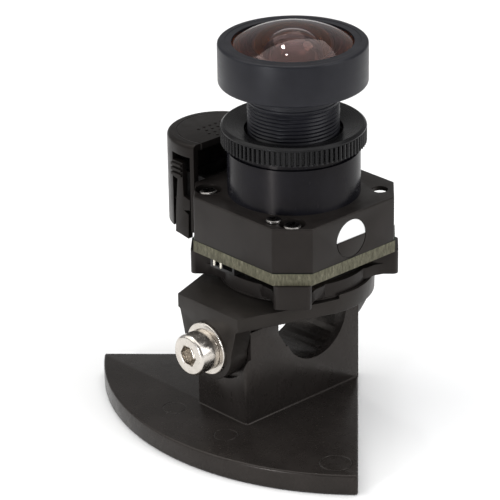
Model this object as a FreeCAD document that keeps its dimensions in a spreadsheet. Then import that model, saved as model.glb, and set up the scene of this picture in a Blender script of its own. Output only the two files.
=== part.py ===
import FreeCAD, Part
import math
import os
import Sketcher

# Wide-angle camera module on a tilting, swivelling bracket with a quarter-disc foot.
# X runs across the tilt axis, Y runs along the tilt axis towards the foot's square corner, Z is up.
# The lens axis is the Z axis and the foot's underside is Z = 0.

doc = FreeCAD.newDocument("CameraModule")

dimensions = [
    ("past", 1.0), ("fuse", 0.5),
    # foot and post, one moulding
    ("footRadius", 34.4), ("footThick", 2.8), ("footCorner", 11.74), ("footRound", 0.35),
    ("postHalf", 4.75), ("postFront", -13.25), ("postRear", 6.98), ("postTop", 15.7), ("postRound", 0.5),
    ("notchMidY", -0.8), ("notchMidZ", 13.9), ("notchNear", 5.45), ("notchFar", 6.3),
    ("notchRear", 4.3), ("notchStep", -7.5), ("notchKneeY", -6.15), ("notchKneeZ", 11.7), ("notchStepZ", 14.0),
    ("recessFloor", -12.4), ("recessRadius", 4.9), ("markRadius", 1.5), ("markBig", 2.0), ("markDeep", 0.12),
    # tilt clamp
    ("tiltHeight", 13.1), ("clampHole", 1.6), ("clampShank", 1.48), ("clampTip", -6.0), ("clampBevel", 0.3),
    ("washerRadius", 3.5), ("washerThick", 0.5), ("washerRound", 0.12), ("headRadius", 2.75),
    ("headTall", 3.0), ("hexFlats", 2.5), ("hexDeep", 1.7), ("nutFlats", 5.5), ("nutThick", 2.4),
    ("nutFloor", -9.4), ("nutBore", 1.53), ("pinRadius", 1.25), ("pinInner", 4.7), ("pinOuter", 9.2), ("pinBevel", 0.2), ("earBore", 1.3),
    # tilt bracket
    ("plateLow", 17.0), ("plateTop", 18.9), ("plateRadius", 10.4), ("plateFront", -15.45), ("plateHalf", 5.65),
    ("guardInner", 9.98), ("guardTop", 19.45), ("guardStart", 10.5),
    ("tongueBack", -12.6), ("tongueRadius", 4.3), ("tongueNeck", 5.25), ("tongueNeckZ", 16.8), ("lipLow", 17.3),
    ("earFront", 7.25), ("earBack", 9.2), ("earRadius", 3.5), ("earHalf", 5.6), ("earKneeX", 5.3),
    ("earKneeZ", 15.25),
    ("hubRadius", 3.95), ("hubLow", 14.6), ("swivelBore", 2.05),
    # swivel carrier
    ("discRadius", 9.9), ("discLow", 19.0), ("discTop", 21.1), ("discLip", 0.12), ("discLipTall", 0.25),
    ("dishRadius", 8.7), ("dishFloor", 19.9), ("stemRadius", 2.0), ("stemLow", 14.5),
    ("postReach", 13.45), ("postWide", 2.42), ("postLow", 19.6), ("postInner", 8.2), ("postCorner", 0.7),
    ("gussetWide", 4.1), ("gussetBend", 3.85), ("gussetIn", 9.4), ("gussetMid", 10.4), ("gussetNarrow", 2.87),
    ("gussetOut", 11.55), ("gussetEnd", 12.45), ("pilotFloor", 20.0), ("pilotRadius", 0.75),
    ("retainerRadius", 3.2), ("retainerThick", 0.5), ("swivelHead", 2.1), ("swivelHeadTall", 1.0),
    ("headRound", 0.5), ("swivelShank", 0.98), ("swivelShankTop", 19.4), ("swivelDrill", 19.7),
    ("crossHalf", 0.25), ("crossReach", 1.2), ("crossDeep", 0.5),
    # circuit board and what is on it
    ("boardLow", 22.8), ("boardTop", 24.4), ("boardHalf", 10.95), ("boardCorner", 3.5),
    ("tabOuter", -16.6), ("tabInner", -9.95), ("tabFront", -5.2), ("tabRear", 3.1),
    ("screwSpread", 7.82), ("screwHole", 0.95),
    ("sensorHalf", 5.6), ("sensorTall", 1.2), ("coverHalf", 4.6), ("coverTall", 0.5), ("gasketInner", 4.0),
    ("dieWell", 3.9), ("dieFloor", 0.4), ("dieTall", 0.4), ("dieHalfX", 3.2), ("dieHalfY", 2.5),
    ("capStart", -5.2), ("capPitch", 1.9), ("capLong", 1.1), ("capWide", 0.6), ("capGap", 0.45),
    ("underCapX", 6.6), ("underCapStart", -3.6), ("underCapPitch", 1.5), ("underCapLong", 1.0),
    ("flexLeft", -5.0), ("flexRight", -0.5), ("flexFront", -10.25), ("flexRear", -8.4), ("flexTall", 1.5),
    ("flexWall", 0.4), ("flexDeep", 0.85),
    ("socketMidX", -13.9), ("socketMidY", -1.06), ("socketHalfX", 2.0), ("socketHalfY", 3.6), ("socketTall", 5.4),
    ("socketWall", 0.7), ("socketFloor", 1.2), ("pinPitch", 1.25), ("pinWidth", 0.22), ("pinLong", 6.0),
    ("pinUnder", 0.6), ("tailX", -3.85), ("tailY", -10.55), ("tailLong", 2.4), ("tailUnder", 0.9),
    # lens holder
    ("flangeHalf", 10.9), ("flangeCorner", 3.6), ("flangeTop", 30.5), ("flangeRound", 0.2), ("sideRound", 0.3),
    ("tubeRadius", 8.6), ("tubeFoot", 30.2), ("tubeTop", 37.2), ("grooveLow", 36.5), ("grooveRadius", 8.15),
    ("lensBore", 6.0), ("cavityHalf", 7.0), ("boreFloor", 28.4),
    ("counterbore", 1.75), ("counterFloor", 29.4), ("capHead", 1.25), ("capHeadTall", 1.0),
    ("holderShank", 0.75), ("shankFoot", 20.4), ("shankTop", 29.6),
    ("lugSkin", 29.9), ("lugHole", 1.05), ("lugOuter", 9.9), ("lugSide", 5.6), ("lugEnd", 3.4), ("lugNear", 9.3),
    ("lugKneeX", 6.2), ("lugKneeY", 7.4), ("lugCorner", 7.2),
    ("grubX", 5.7), ("grubY", -9.05), ("grubRadius", 0.6), ("grubHead", 1.0), ("grubHeadTall", 0.35),
    ("grubDeep", 2.2), ("grubShank", 2.1),
    ("portRadius", 2.6), ("portMidY", -0.42), ("portMidZ", 27.1), ("portFloorX", 8.6), ("portFlush", 10.78),
    ("portLine", 0.16), ("portLineX", 10.8),
    ("filterHalf", 5.2), ("filterLow", 26.9), ("filterTop", 27.6), ("filterMouth", 4.9),
    # lock ring
    ("ringLow", 37.3), ("ringTop", 39.9), ("ringRadius", 9.4), ("ringBevel", 0.45), ("ringFoot", 0.25),
    ("ringDish", 0.75), ("ringMouth", 6.35), ("ringBore", 6.0), ("ringWall", 0.7), ("ringSlope", 0.35),
    # lens barrel
    ("threadRadius", 5.95), ("threadLow", 29.7), ("threadBevel", 0.3), ("collarLow", 43.4), ("collarRadius", 5.85),
    ("headLow", 45.4), ("headTop", 50.9), ("headOuter", 9.6), ("headBevel", 0.35), ("rimInner", 7.8),
    ("rimOuter", 8.65), ("rimLow", 50.55), ("rimTop", 50.85), ("frontSeatZ", 48.0), ("frontSeat", 8.1),
    ("sealInner", 6.7), ("sealOuter", 8.05), ("sealTall", 0.3), ("barrelBore", 4.6),
    ("barrelBoreTop", 45.9), ("bellRadius", 6.6),
    ("retainerLow", 30.1), ("retainerTop", 31.0), ("retainerBore", 3.3),
    # glass and spacers, from the front of the lens to its back
    ("glassCurve", 14.2), ("glassEdge", 50.55), ("glassInnerCurve", 4.7), ("hollowDrop", 1.6),
    ("secondBump", 3.5), ("secondCurve", 3.65), ("secondBase", -0.4), ("secondRim", 0.7), ("secondRadius", 6.55),
    ("secondTall", 5.0), ("glassRadius", 4.57), ("spacerBore", 3.4), ("frontSpacerBore", 3.7), ("stopRadius", 0.9),
    ("thirdTop", 44.2), ("thirdLow", 42.2), ("thirdCurve", 9.0), ("thirdHollow", 5.0), ("thirdHollowZ", 38.4),
    ("stopTop", 39.0), ("stopLow", 38.8), ("crownTop", 38.0), ("crownLow", 35.6), ("crownCurve", 11.0),
    ("flintLow", 33.9), ("rearTop", 33.2), ("rearCurve", 12.0),
    # side cover and its latches
    ("coverMidX", -13.1), ("coverMidY", -1.06), ("coverRadius", 6.8), ("coverWall", 0.75), ("coverRoof", 34.6),
    ("coverFlat", -10.95), ("coverLow", 23.2), ("coverTop", 35.5), ("coverRound", 0.6), ("coverFar", 12.0),
    ("latchMidX", -13.75), ("windowLeft", 1.25), ("windowRight", 2.25), ("windowTop", 33.7),
    ("latchIn", 5.95), ("latchOut", 6.7), ("ribTall", 0.34), ("ribPitch", 0.68), ("ribLow", 30.65), ("ribProud", 0.3),
    ("ribLeft", 1.1), ("ribRight", 0.8), ("pivotAside", 6.06), ("pivotZ", 27.0), ("pivotRadius", 0.22),
    ("pivotHole", 0.26), ("pivotLeft", 1.7), ("pivotRight", 2.55), ("pivotSlack", 0.05),
]

sheet = doc.addObject("Spreadsheet::Sheet", "Dims")
for row, (alias, number) in enumerate(dimensions, start=1):
    sheet.set(f"A{row}", alias)
    sheet.set(f"B{row}", str(number))
    sheet.setAlias(f"B{row}", alias)
doc.recompute()
d = dict(dimensions)


def bound(expression):
    """Turn a bare expression of sheet names into one that reads the sheet."""
    words = sorted(d, key=len, reverse=True)
    out = ""
    position = 0
    while position < len(expression):
        if expression[position].isalpha():
            end = position
            while end < len(expression) and expression[end].isalnum():
                end += 1
            word = expression[position:end]
            out += f"Dims.{word}" if word in words else word
            position = end
        else:
            out += expression[position]
            position += 1
    return out


def value(expression):
    """The number that an expression of sheet names has now."""
    result = sheet.evalExpression(bound(str(expression)))
    return float(getattr(result, "Value", result))


def bind(thing, prop, expression):
    thing.setExpression(prop, bound(str(expression)))


def originPlane(body, role):
    return next(f for f in body.Origin.OriginFeatures if f.Role == role)


def newBody(label):
    body = doc.addObject("PartDesign::Body", label)
    body.Label = label
    return body


def newSketch(body, role, offset):
    sketch = body.newObject("Sketcher::SketchObject", "Outline")
    sketch.AttachmentSupport = (originPlane(body, role), "")
    sketch.MapMode = "FlatFace"
    bind(sketch, "AttachmentOffset.Base.z", offset)
    return sketch


def fixPoint(sketch, geometry, end, across, up):
    """Tie one end of a piece of sketch geometry to two sheet expressions."""
    for kind, expression in (("DistanceX", across), ("DistanceY", up)):
        number = sketch.addConstraint(Sketcher.Constraint(kind, -1, 1, geometry, end, value(expression)))
        bind(sketch, f"Constraints[{number}]", expression)


def drawPolygon(sketch, corners):
    spots = [FreeCAD.Vector(value(across), value(up), 0) for across, up in corners]
    first = sketch.GeometryCount
    for index, spot in enumerate(spots):
        sketch.addGeometry(Part.LineSegment(spot, spots[(index + 1) % len(spots)]), False)
    for index in range(len(spots)):
        following = first + (index + 1) % len(spots)
        sketch.addConstraint(Sketcher.Constraint("Coincident", first + index, 2, following, 1))
    for index, (across, up) in enumerate(corners):
        fixPoint(sketch, first + index, 1, across, up)


def drawCircle(sketch, across, up, radius):
    centre = FreeCAD.Vector(value(across), value(up), 0)
    circle = Part.Circle(centre, FreeCAD.Vector(0, 0, 1), value(radius))
    geometry = sketch.addGeometry(circle, False)
    fixPoint(sketch, geometry, 3, across, up)
    number = sketch.addConstraint(Sketcher.Constraint("Radius", geometry, value(radius)))
    bind(sketch, f"Constraints[{number}]", radius)


def extrude(body, axis, low, high, polygons=(), circles=(), cut=False):
    """Pad or pocket outlines along an axis of the part, between two coordinates on it."""
    role = {"X": "YZ_Plane", "Y": "XZ_Plane", "Z": "XY_Plane"}[axis]
    start = f"-({high})" if axis == "Y" else low
    sketch = newSketch(body, role, start)
    for corners in polygons:
        drawPolygon(sketch, corners)
    for across, up, radius in circles:
        drawCircle(sketch, across, up, radius)
    feature = body.newObject("PartDesign::Pocket" if cut else "PartDesign::Pad", "Cut" if cut else "Grow")
    feature.Profile = sketch
    feature.Reversed = cut
    bind(feature, "Length", f"({high}) - ({low})")
    body.Tip = feature
    before = body.Shape.Volume if cut else None
    doc.recompute()
    if cut and not feature.Shape.Volume < before - 1e-6:
        raise RuntimeError(f"{body.Label}: a cut removed nothing")
    return feature


def revolve(body, corners, cut=False):
    """Turn a radius-height outline about the lens axis."""
    sketch = newSketch(body, "XZ_Plane", "0")
    drawPolygon(sketch, corners)
    feature = body.newObject("PartDesign::Groove" if cut else "PartDesign::Revolution", "Turn")
    feature.Profile = sketch
    feature.ReferenceAxis = (sketch, ["V_Axis"])
    feature.Angle = 360
    body.Tip = feature
    doc.recompute()
    return feature


def turned(label, corners):
    body = newBody(label)
    revolve(body, corners)
    return body


def ringOutline(inner, outer, low, high):
    return [(inner, low), (outer, low), (outer, high), (inner, high)]


def rectangle(left, right, low, high):
    return [(left, low), (right, low), (right, high), (left, high)]


def edgesWhere(shape, test):
    return [f"Edge{index}" for index, edge in enumerate(shape.Edges, start=1) if test(edge)]


def fillet(body, radius, test):
    base = body.Tip
    names = edgesWhere(base.Shape, test)
    if not names:
        raise RuntimeError(f"{body.Label}: no edge to round")
    feature = body.newObject("PartDesign::Fillet", "Round")
    feature.Base = (base, names)
    bind(feature, "Radius", radius)
    body.Tip = feature
    doc.recompute()
    return feature


def chamfer(body, size, test):
    base = body.Tip
    names = edgesWhere(base.Shape, test)
    feature = body.newObject("PartDesign::Chamfer", "Bevel")
    feature.Base = (base, names)
    bind(feature, "Size", size)
    body.Tip = feature
    doc.recompute()
    return feature


def flatAt(edge, axis, height):
    box = edge.BoundBox
    low = getattr(box, axis + "Min")
    high = getattr(box, axis + "Max")
    return abs(low - height) < 1e-4 and abs(high - height) < 1e-4


def upright(edge):
    box = edge.BoundBox
    return box.XLength < 1e-4 and box.YLength < 1e-4


def cutCorners(half, corner):
    """A square with its four corners cut off."""
    near = f"{half} - {corner}"
    return [
        (f"-({near})", f"-{half}"), (near, f"-{half}"), (half, f"-({near})"), (half, near),
        (near, half), (f"-({near})", half), (f"-{half}", near), (f"-{half}", f"-({near})"),
    ]


def arcCorners(across, up, radius, start, end, steps=24):
    """Corners along part of a circle, with its ends joined by a straight line."""
    corners = []
    for step in range(steps + 1):
        angle = math.radians(start + (end - start) * step / steps)
        corners.append((f"{across} + {math.cos(angle):.9f} * {radius}", f"{up} + {math.sin(angle):.9f} * {radius}"))
    return corners


def hexagon(flats, midX, midY):
    corners = []
    for step in range(6):
        angle = math.radians(60 * step)
        across = f"({midX}) + {math.cos(angle):.9f} * {flats} / {math.sqrt(3):.9f}"
        up = f"({midY}) + {math.sin(angle):.9f} * {flats} / {math.sqrt(3):.9f}"
        corners.append((across, up))
    return corners


def tangentPoint(across, up, radius):
    """Where a line from a corner outside a circle about the origin touches it, on the corner's right."""
    reach = math.hypot(value(across), value(up))
    bend = math.acos(value(radius) / reach)
    turn = math.atan2(value(up), value(across)) + (bend if value(up) < 0 else -bend)
    return f"{radius} * {math.cos(turn):.6f}", f"{radius} * {math.sin(turn):.6f}"


def cylinder(name, radius, height, x="0", y="0", z="0"):
    thing = doc.addObject("Part::Cylinder", name)
    bind(thing, "Radius", radius)
    bind(thing, "Height", height)
    for prop, expression in (("x", x), ("y", y), ("z", z)):
        bind(thing, f"Placement.Base.{prop}", expression)
    return thing


def box(name, left, right, front, rear, low, high):
    thing = doc.addObject("Part::Box", name)
    bind(thing, "Length", f"({right}) - ({left})")
    bind(thing, "Width", f"({rear}) - ({front})")
    bind(thing, "Height", f"({high}) - ({low})")
    for prop, expression in (("x", left), ("y", front), ("z", low)):
        bind(thing, f"Placement.Base.{prop}", expression)
    return thing


def group(label, members):
    thing = doc.addObject("Part::Compound", label)
    thing.Label = label
    thing.Links = members
    return thing


nodes = []


# across, along and radius of the foot's ejector marks
markPlaces = [("-5.6", "-16.6", "markRadius"), ("4.7", "-17.0", "markRadius"), ("20.0", "-12.2", "markBig")]


def makeFoot():
    body = newBody("foot_post")
    extrude(body, "Z", "0", "footThick", circles=[("0", "footCorner", "footRadius")])
    far = "(footRadius + 7 * past)"
    outside = [("0", "footCorner"), (far, f"footCorner - {far}"), (far, f"footCorner + {far}"),
               (f"-{far}", f"footCorner + {far}"), (f"-{far}", f"footCorner - {far}")]
    extrude(body, "Z", "-past", "footThick + past", polygons=[outside], cut=True)
    fillet(body, "footRound", lambda e: flatAt(e, "Z", d["footThick"]) and e.BoundBox.XLength > d["footRadius"])
    extrude(body, "Z", "footThick - fuse", "postTop",
            polygons=[rectangle("-postHalf", "postHalf", "postFront", "postRear")])
    fillet(body, "postRound", lambda e: upright(e) and e.BoundBox.YMax < d["postFront"] + 0.1)
    # U notch: a slightly conical round bottom, wider on the far side, and straight sides above it
    cone = body.newObject("PartDesign::SubtractiveCone", "NotchRound")
    bind(cone, "Radius1", "notchFar")
    bind(cone, "Radius2", "notchNear")
    bind(cone, "Height", "2 * (postHalf + fuse)")
    cone.Placement = FreeCAD.Placement(
        FreeCAD.Vector(-d["postHalf"] - d["fuse"], d["notchMidY"], d["notchMidZ"]),
        FreeCAD.Rotation(FreeCAD.Vector(0, 1, 0), 90))
    body.Tip = cone
    doc.recompute()
    mouth = [("notchRear", "notchKneeZ"), ("notchRear", "postTop + past"), ("notchStep", "postTop + past"),
             ("notchStep", "notchStepZ"), ("notchKneeY", "notchKneeZ")]
    extrude(body, "X", "-postHalf - past", "postHalf + past", polygons=[mouth], cut=True)
    # recess for the bracket's tongue
    above = rectangle("-postHalf - past", "postHalf + past", "tiltHeight", "postTop + past")
    extrude(body, "Y", "postFront - past", "recessFloor", polygons=[above], cut=True)
    extrude(body, "Y", "postFront - past", "recessFloor", circles=[("0", "tiltHeight", "recessRadius")], cut=True)
    # clamp screw hole, nut pocket and pivot pin hole
    extrude(body, "Y", "postFront - past", "0", circles=[("0", "tiltHeight", "clampHole")], cut=True)
    extrude(body, "Y", "nutFloor", "0", polygons=[hexagon("nutFlats", "0", "tiltHeight")], cut=True)
    extrude(body, "Y", "pinInner - past", "postRear + past", circles=[("0", "tiltHeight", "pinRadius")], cut=True)
    # shallow round marks left by the mould's ejector pins
    extrude(body, "Z", "footThick - markDeep", "footThick + past", circles=markPlaces, cut=True)
    return body


def makeTiltBracket():
    body = newBody("tilt_bracket")
    # the straight sides of the plate run from the front corners tangent to its round end
    side, up = tangentPoint("plateHalf", "plateFront", "plateRadius")
    wedge = [("-plateHalf", "plateFront"), ("plateHalf", "plateFront"), (side, up), (f"-({side})", up)]
    extrude(body, "Z", "plateLow", "plateTop", polygons=[wedge])
    extrude(body, "Z", "plateLow", "plateTop", circles=[("0", "0", "plateRadius")])
    # raised guard round the back of the swivel disc
    extrude(body, "Z", "plateTop - fuse", "guardTop", circles=[("0", "0", "plateRadius")])
    extrude(body, "Z", "plateTop", "guardTop + past", circles=[("0", "0", "guardInner")], cut=True)
    far = "(plateRadius + past)"
    fall = f"-{far} * tan(guardStart)"
    ahead = [(f"-{far}", f"-{far}"), (far, f"-{far}"), (far, fall), ("0", "0"), (f"-{far}", fall)]
    extrude(body, "Z", "plateTop", "guardTop + past", polygons=[ahead], cut=True)
    tongue = [("-plateHalf", "plateLow + fuse"), ("-plateHalf", "lipLow"), ("-tongueNeck", "tongueNeckZ"),
              ("-tongueRadius", "tiltHeight"), ("tongueRadius", "tiltHeight"), ("tongueNeck", "tongueNeckZ"),
              ("plateHalf", "lipLow"), ("plateHalf", "plateLow + fuse")]
    extrude(body, "Y", "plateFront", "tongueBack", polygons=[tongue])
    extrude(body, "Y", "plateFront", "tongueBack", circles=[("0", "tiltHeight", "tongueRadius")])
    side, low = tangentPoint("earKneeX", "earKneeZ - tiltHeight", "earRadius")
    ear = [("-earHalf", "plateLow + fuse"), ("-earHalf", "plateLow - fuse"), ("-earKneeX", "earKneeZ"),
           (f"-({side})", f"tiltHeight + {low}"), (side, f"tiltHeight + {low}"), ("earKneeX", "earKneeZ"),
           ("earHalf", "plateLow - fuse"), ("earHalf", "plateLow + fuse")]
    extrude(body, "Y", "earFront", "earBack", polygons=[ear])
    extrude(body, "Y", "earFront", "earBack", circles=[("0", "tiltHeight", "earRadius")])
    extrude(body, "Z", "hubLow", "plateLow + fuse", circles=[("0", "0", "hubRadius")])
    extrude(body, "Z", "hubLow - past", "plateTop + past", circles=[("0", "0", "swivelBore")], cut=True)
    extrude(body, "Y", "plateFront - past", "tongueBack + past", circles=[("0", "tiltHeight", "clampHole")], cut=True)
    extrude(body, "Y", "earFront - past", "earBack + past", circles=[("0", "tiltHeight", "earBore")], cut=True)
    return body


def makeClamp():
    screw = newBody("tilt_screw")
    under = "plateFront - washerThick"
    top = f"{under} - headTall"
    axis = ("0", "tiltHeight")
    extrude(screw, "Y", top, under, circles=[(*axis, "headRadius")])
    chamfer(screw, "clampBevel", lambda e: flatAt(e, "Y", value(top)))
    extrude(screw, "Y", f"{under} - fuse", "clampTip", circles=[(*axis, "clampShank")])
    chamfer(screw, "clampBevel", lambda e: flatAt(e, "Y", d["clampTip"]))
    extrude(screw, "Y", f"{top} - past", f"{top} + hexDeep", polygons=[hexagon("hexFlats", *axis)], cut=True)

    washer = newBody("tilt_washer")
    extrude(washer, "Y", under, "plateFront", circles=[(*axis, "washerRadius")])
    extrude(washer, "Y", f"{under} - past", "plateFront + past", circles=[(*axis, "clampHole")], cut=True)
    fillet(washer, "washerRound", lambda e: flatAt(e, "Y", value(under)) and e.BoundBox.XLength > d["washerRadius"])

    nut = newBody("tilt_nut")
    extrude(nut, "Y", "nutFloor", "nutFloor + nutThick", polygons=[hexagon("nutFlats", *axis)])
    extrude(nut, "Y", "nutFloor - past", "nutFloor + nutThick + past", circles=[(*axis, "nutBore")], cut=True)

    pin = newBody("pivot_pin")
    extrude(pin, "Y", "pinInner", "pinOuter", circles=[(*axis, "pinRadius")])
    chamfer(pin, "pinBevel", lambda e: flatAt(e, "Y", d["pinOuter"]))
    return [screw, washer, nut, pin]


def makeCarrier():
    body = newBody("swivel_carrier")
    extrude(body, "Z", "discLow", "discLow + discLipTall", circles=[("0", "0", "discRadius")])
    extrude(body, "Z", "discLow", "discTop", circles=[("0", "0", "discRadius - discLip")])
    extrude(body, "Z", "dishFloor", "discTop + past", circles=[("0", "0", "dishRadius")], cut=True)
    extrude(body, "Z", "stemLow", "discLow + fuse", circles=[("0", "0", "stemRadius")])
    diagonal = math.sqrt(0.5)
    post = [("postInner", "postWide"), ("postReach", "postWide")]
    # the gusset blends each standoff into the disc's wall
    gusset = [("dishRadius", "gussetWide"), ("gussetIn", "gussetBend"), ("gussetMid", "gussetNarrow"),
              ("gussetOut", "postWide"), ("gussetEnd", "postWide")]
    for signX, signY in ((1, 1), (1, -1), (-1, 1), (-1, -1)):
        for half, low, high in ((post, "postLow", "boardLow"), (gusset, "postLow", "discTop")):
            both = [(along, f"-({aside})") for along, aside in half] + half[::-1]
            outline = []
            for along, aside in both:
                across = f"{signX * diagonal:.9f} * ({along}) - {signY * diagonal:.9f} * ({aside})"
                up = f"{signY * diagonal:.9f} * ({along}) + {signX * diagonal:.9f} * ({aside})"
                outline.append((across, up))
            extrude(body, "Z", low, high, polygons=[outline])
    reach = d["postReach"] - d["fuse"]
    fillet(body, "postCorner", lambda e: upright(e) and math.hypot(e.BoundBox.XMin, e.BoundBox.YMin) > reach)
    holes = [(f"{sx} * screwSpread", f"{sy} * screwSpread", "pilotRadius") for sx in (1, -1) for sy in (1, -1)]
    extrude(body, "Z", "pilotFloor", "boardLow + past", circles=holes, cut=True)
    extrude(body, "Z", "stemLow - past", "swivelDrill", circles=[("0", "0", "swivelShank")], cut=True)

    washer = newBody("swivel_washer")
    extrude(washer, "Z", "stemLow - retainerThick", "stemLow", circles=[("0", "0", "retainerRadius")])
    extrude(washer, "Z", "stemLow - 2 * past", "stemLow + past", circles=[("0", "0", "swivelShank")], cut=True)

    screw = newBody("swivel_screw")
    under = "stemLow - retainerThick"
    extrude(screw, "Z", f"{under} - swivelHeadTall", under, circles=[("0", "0", "swivelHead")])
    fillet(screw, "headRound", lambda e: flatAt(e, "Z", value(f"{under} - swivelHeadTall")))
    extrude(screw, "Z", f"{under} - crossDeep", "swivelShankTop", circles=[("0", "0", "swivelShank")])
    slot = [rectangle("-crossHalf", "crossHalf", "-crossReach", "crossReach")]
    bar = [rectangle("-crossReach", "crossReach", "-crossHalf", "crossHalf")]
    for outline in (slot, bar):
        extrude(screw, "Z", f"{under} - swivelHeadTall - past", f"{under} - crossDeep", polygons=outline, cut=True)
    return [body, washer, screw]


# left, right, front and rear edge of each chip, and how far it stands below the board
chipPlaces = [("-6.2", "-0.2", "-1.5", "4.5", "1.0"), ("1.6", "5.2", "1.2", "5.6", "0.9"),
              ("1.2", "4.2", "-5.6", "-2.6", "0.8")]


def makeBoard():
    board = newBody("circuit_board")
    extrude(board, "Z", "boardLow", "boardTop", polygons=[cutCorners("boardHalf", "boardCorner")])
    tab = rectangle("tabOuter", "tabInner", "tabFront", "tabRear")
    extrude(board, "Z", "boardLow", "boardTop", polygons=[tab])
    corners = [(f"{sx} * screwSpread", f"{sy} * screwSpread", "screwHole") for sx in (1, -1) for sy in (1, -1)]
    pins = [("socketMidX", f"socketMidY + ({step}) * pinPitch", "pinWidth") for step in pinSteps]
    tails = [(f"tailX + {step} * pinPitch", "tailY", "pinWidth") for step in (0, 1)]
    extrude(board, "Z", "boardLow - past", "boardTop + past", circles=corners + pins + tails, cut=True)

    package = newBody("image_sensor")
    outline = rectangle("-sensorHalf", "sensorHalf", "-sensorHalf", "sensorHalf")
    extrude(package, "Z", "boardTop", "boardTop + sensorTall", polygons=[outline])
    well = rectangle("-dieWell", "dieWell", "-dieWell", "dieWell")
    extrude(package, "Z", "boardTop + dieFloor", "boardTop + sensorTall + past", polygons=[well], cut=True)

    die = box("sensor_die", "-dieHalfX", "dieHalfX", "-dieHalfY", "dieHalfY", "boardTop + dieFloor",
              "boardTop + dieFloor + dieTall")
    cover = box("sensor_cover_glass", "-coverHalf", "coverHalf", "-coverHalf", "coverHalf",
                "boardTop + sensorTall", "boardTop + sensorTall + coverTall")

    gasket = newBody("sensor_gasket")
    outer = rectangle("-coverHalf", "coverHalf", "-coverHalf", "coverHalf")
    inner = rectangle("-gasketInner", "gasketInner", "-gasketInner", "gasketInner")
    low = "boardTop + sensorTall + coverTall"
    extrude(gasket, "Z", low, "filterLow", polygons=[outer])
    extrude(gasket, "Z", f"{low} - past", "filterLow + past", polygons=[inner], cut=True)

    members = []
    for number, (left, right, front, rear, tall) in enumerate(chipPlaces):
        members.append(box(f"Chip{number}", left, right, front, rear, f"boardLow - {tall}", "boardLow"))
    chipGroup = group("board_chips", members)

    members = []
    near = "sensorHalf + capGap"
    away = f"{near} + capWide"
    for number in range(6):
        front = f"capStart + {number} * capPitch"
        rear = f"{front} + capLong"
        members.append(box(f"CapA{number}", near, away, front, rear, "boardTop", "boardTop + capWide"))
        members.append(box(f"CapB{number}", f"-({away})", f"-({near})", front, rear, "boardTop", "boardTop + capWide"))
    for number in range(5):
        front = f"underCapStart + {number} * underCapPitch"
        rear = f"{front} + underCapLong"
        members.append(box(f"CapC{number}", "underCapX", "underCapX + capWide", front, rear,
                           "boardLow - capWide", "boardLow"))
    capacitors = group("board_capacitors", members)

    connector = newBody("flex_connector")
    outer = rectangle("flexLeft", "flexRight", "flexFront", "flexRear")
    extrude(connector, "Z", "boardLow - flexTall", "boardLow", polygons=[outer])
    mouth = rectangle("flexLeft + flexWall", "flexRight - flexWall", "boardLow - flexTall + flexWall",
                      "boardLow - flexWall")
    extrude(connector, "Y", "flexFront - past", "flexFront + flexDeep", polygons=[mouth], cut=True)

    socket = newBody("cable_socket")
    outer, inner = [
        rectangle(f"socketMidX - socketHalfX + {wall}", f"socketMidX + socketHalfX - {wall}",
                  f"socketMidY - socketHalfY + {wall}", f"socketMidY + socketHalfY - {wall}")
        for wall in ("0", "socketWall")]
    extrude(socket, "Z", "boardTop", "boardTop + socketTall", polygons=[outer])
    extrude(socket, "Z", "boardTop + socketFloor", "boardTop + socketTall + past", polygons=[inner], cut=True)
    extrude(socket, "Z", "boardTop - past", "boardTop + socketFloor + past", circles=pins, cut=True)

    members = []
    for number, step in enumerate(pinSteps):
        members.append(cylinder(f"Pin{number}", "pinWidth", "pinLong", "socketMidX",
                                f"socketMidY + ({step}) * pinPitch", "boardLow - pinUnder"))
    socketPins = group("socket_pins", members)
    members = []
    for number in (0, 1):
        members.append(cylinder(f"Tail{number}", "pinWidth", "tailLong", f"tailX + {number} * pinPitch", "tailY",
                                "boardLow - tailUnder"))
    solderTails = group("solder_tails", members)
    return [board, package, die, cover, gasket, chipGroup, capacitors, connector, socket, socketPins, solderTails]


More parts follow.
